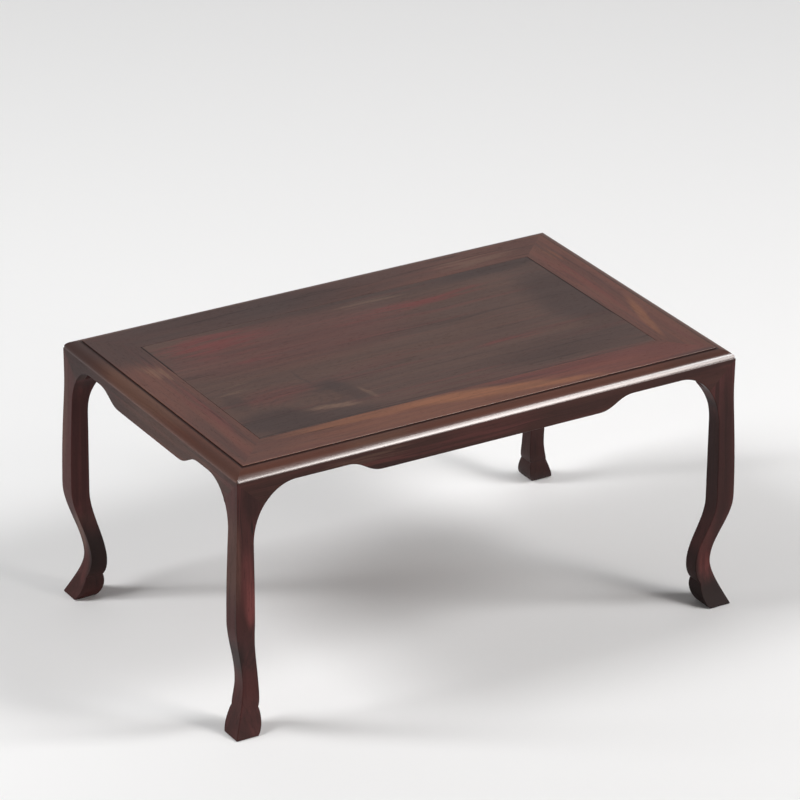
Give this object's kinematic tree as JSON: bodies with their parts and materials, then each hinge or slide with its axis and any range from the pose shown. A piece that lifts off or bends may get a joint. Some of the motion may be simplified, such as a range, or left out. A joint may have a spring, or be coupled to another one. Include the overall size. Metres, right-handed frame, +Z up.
{
  "type": "bonsai display stand",
  "caption": "Low rectangular hardwood display stand with a mitred frame-and-panel top, moulded edge, shaped aprons and cabriole legs.",
  "frame": {"origin": "on the floor, under the middle of the top", "axes": "+X along the length of the top, towards the right as seen from the front; +Y towards the back; +Z up"},
  "size_m": [0.487, 0.307, 0.24],
  "materials": {
    "frame_wood": "satin",
    "panel_wood": "satin",
    "apron_wood": "satin",
    "leg_wood": "satin",
    "brace_wood": "matte"
  },
  "bodies": {
    "root": {"frame_front": "frame_wood", "frame_back": "frame_wood", "frame_left": "frame_wood", "frame_right": "frame_wood", "top_panel": "panel_wood", "brace_left": "brace_wood", "brace_right": "brace_wood", "apron_front": "apron_wood", "apron_back": "apron_wood", "apron_left": "apron_wood", "apron_right": "apron_wood", "leg_front_left": "leg_wood", "leg_front_right": "leg_wood", "leg_back_left": "leg_wood", "leg_back_right": "leg_wood"}
  },
  "joints": []
}
